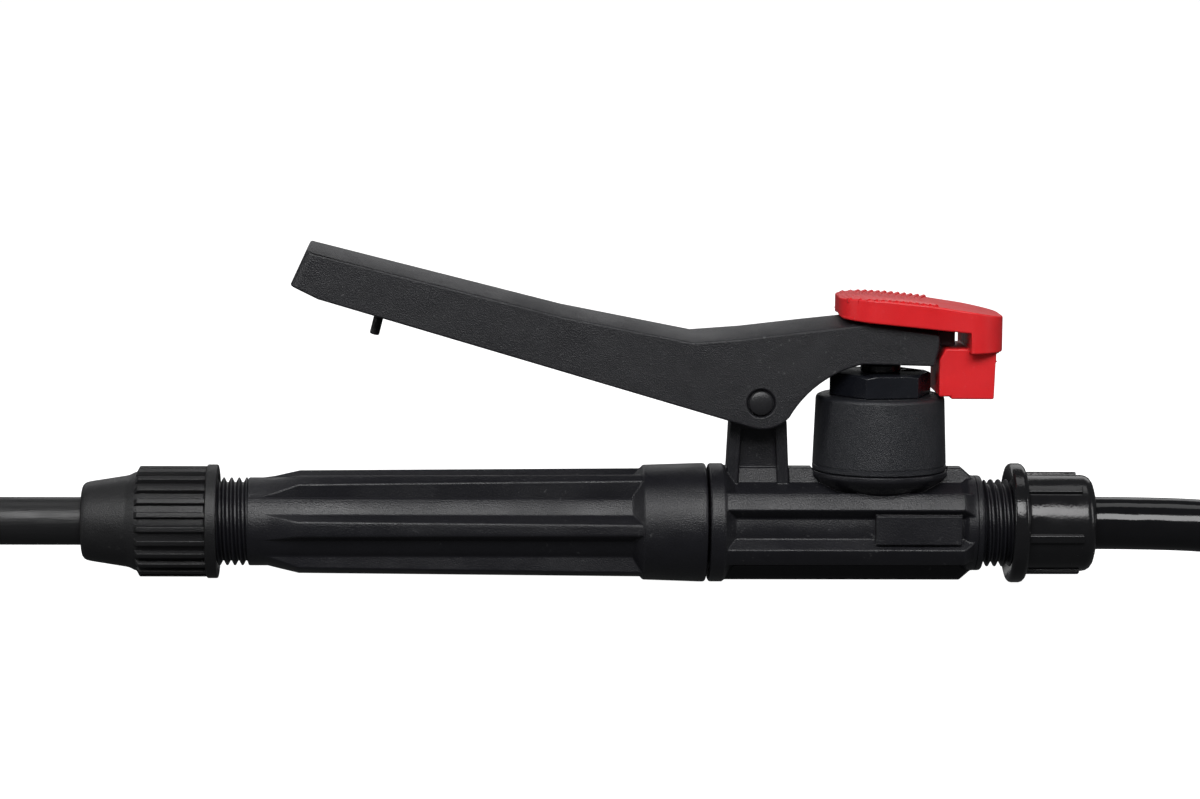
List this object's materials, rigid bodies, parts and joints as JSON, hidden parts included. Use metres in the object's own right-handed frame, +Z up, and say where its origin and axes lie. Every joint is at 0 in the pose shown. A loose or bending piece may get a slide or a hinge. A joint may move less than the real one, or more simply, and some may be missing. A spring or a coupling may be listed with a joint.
{
  "type": "backpack sprayer trigger lance",
  "caption": "Squeeze-lever shut-off valve with ribbed grip, red hold-open slider, spray lance with adjustable nozzle, and a supply hose folded in a tied hank.",
  "frame": {"origin": "on the surface the object stands on, under the middle of its length from the nozzle to the end of the tail inside the hose", "axes": "+X along the barrel towards the hose, +Z up from the barrel to the lever, -Y towards the front"},
  "size_m": [0.8977, 0.1234, 0.0814],
  "materials": {
    "lance_plastic": "extruded black plastic, satin",
    "nut_plastic": "moulded black plastic, matte",
    "inner_plastic": "natural moulded plastic",
    "seal_rubber": "moulded nitrile rubber",
    "grip_plastic": "moulded black plastic, semi-matte",
    "screen_mesh": "woven nylon screen",
    "body_plastic": "moulded black plastic, semi-matte",
    "bonnet_plastic": "moulded black plastic, satin grain",
    "gland_plastic": "moulded black plastic, smooth",
    "stem_plastic": "moulded black plastic, smooth",
    "spring_steel": "drawn stainless wire",
    "lever_plastic": "moulded charcoal plastic with a fine grain",
    "pin_plastic": "moulded black plastic",
    "lock_plastic": "moulded red plastic, semi-gloss",
    "hose_nut_plastic": "moulded black plastic, glossy",
    "hose_pvc": "extruded black PVC, glossy",
    "tie_strap": "woven hook and loop strap"
  },
  "bodies": {
    "handle": {"lance_tube": "lance_plastic", "lance_ferrule": "inner_plastic", "lance_seal": "seal_rubber", "nozzle_body": "nut_plastic", "nozzle_core": "inner_plastic", "nozzle_seal": "seal_rubber", "grip_barrel": "grip_plastic", "strainer_cage": "inner_plastic", "strainer_screen": "screen_mesh", "barrel_seal": "seal_rubber", "valve_body": "body_plastic", "bonnet": "bonnet_plastic", "gland_nut": "gland_plastic", "stem_seal": "seal_rubber", "return_spring": "spring_steel", "hose_tail": "inner_plastic", "hose_washer": "seal_rubber", "hose_lead": "hose_pvc", "hose_hank": "hose_pvc", "hank_ties": "tie_strap", "hose_end": "hose_pvc", "tank_tail": "inner_plastic", "tank_washer": "seal_rubber"},
    "lever": {"lever": "lever_plastic", "pivot_pin": "pin_plastic"},
    "lock": {"lock_slider": "lock_plastic"},
    "stem": {"valve_stem": "stem_plastic", "valve_washer": "seal_rubber"},
    "lance_nut": {"lance_nut": "nut_plastic"},
    "nozzle_cap": {"nozzle_cap": "nut_plastic"},
    "hose_nut": {"hose_nut": "hose_nut_plastic"},
    "tank_nut": {"tank_nut": "hose_nut_plastic"}
  },
  "joints": [
    {"name": "lever_squeeze", "type": "hinge", "parent": "handle", "child": "lever", "pos_m": [0.19995, 0, 0.0443], "axis": [0, -1, 0], "range_deg": [0, 15], "stiffness_Nm_per_rad": 1.1, "springref_deg": -20.05},
    {"name": "stem_lift", "type": "slide", "parent": "handle", "child": "stem", "axis": [0, 0, 1], "range_m": [0, 0.00777], "stiffness_N_per_m": 0.05, "springref_m": 0.311, "deforming": ["return_spring"]},
    {"name": "lock_slide", "type": "slide", "parent": "lever", "child": "lock", "axis": [0.9952, 0, -0.0976], "range_m": [0, 0.0025]},
    {"name": "lance_nut_turn", "type": "hinge", "parent": "handle", "child": "lance_nut", "pos_m": [0.07165, 0, 0.0143], "axis": [1, 0, 0], "continuous": true},
    {"name": "nozzle_cap_turn", "type": "hinge", "parent": "handle", "child": "nozzle_cap", "pos_m": [-0.28275, 0, 0.0143], "axis": [1, 0, 0], "continuous": true},
    {"name": "hose_nut_turn", "type": "hinge", "parent": "handle", "child": "hose_nut", "pos_m": [0.26025, 0, 0.0143], "axis": [1, 0, 0], "continuous": true},
    {"name": "tank_nut_turn", "type": "hinge", "parent": "handle", "child": "tank_nut", "pos_m": [0.38725, 0.093, 0.0143], "axis": [1, 0, 0], "continuous": true}
  ],
  "couplings": [
    {"joint": "stem_lift", "follows": "lever_squeeze", "m_per_rad": 0.0293}
  ]
}
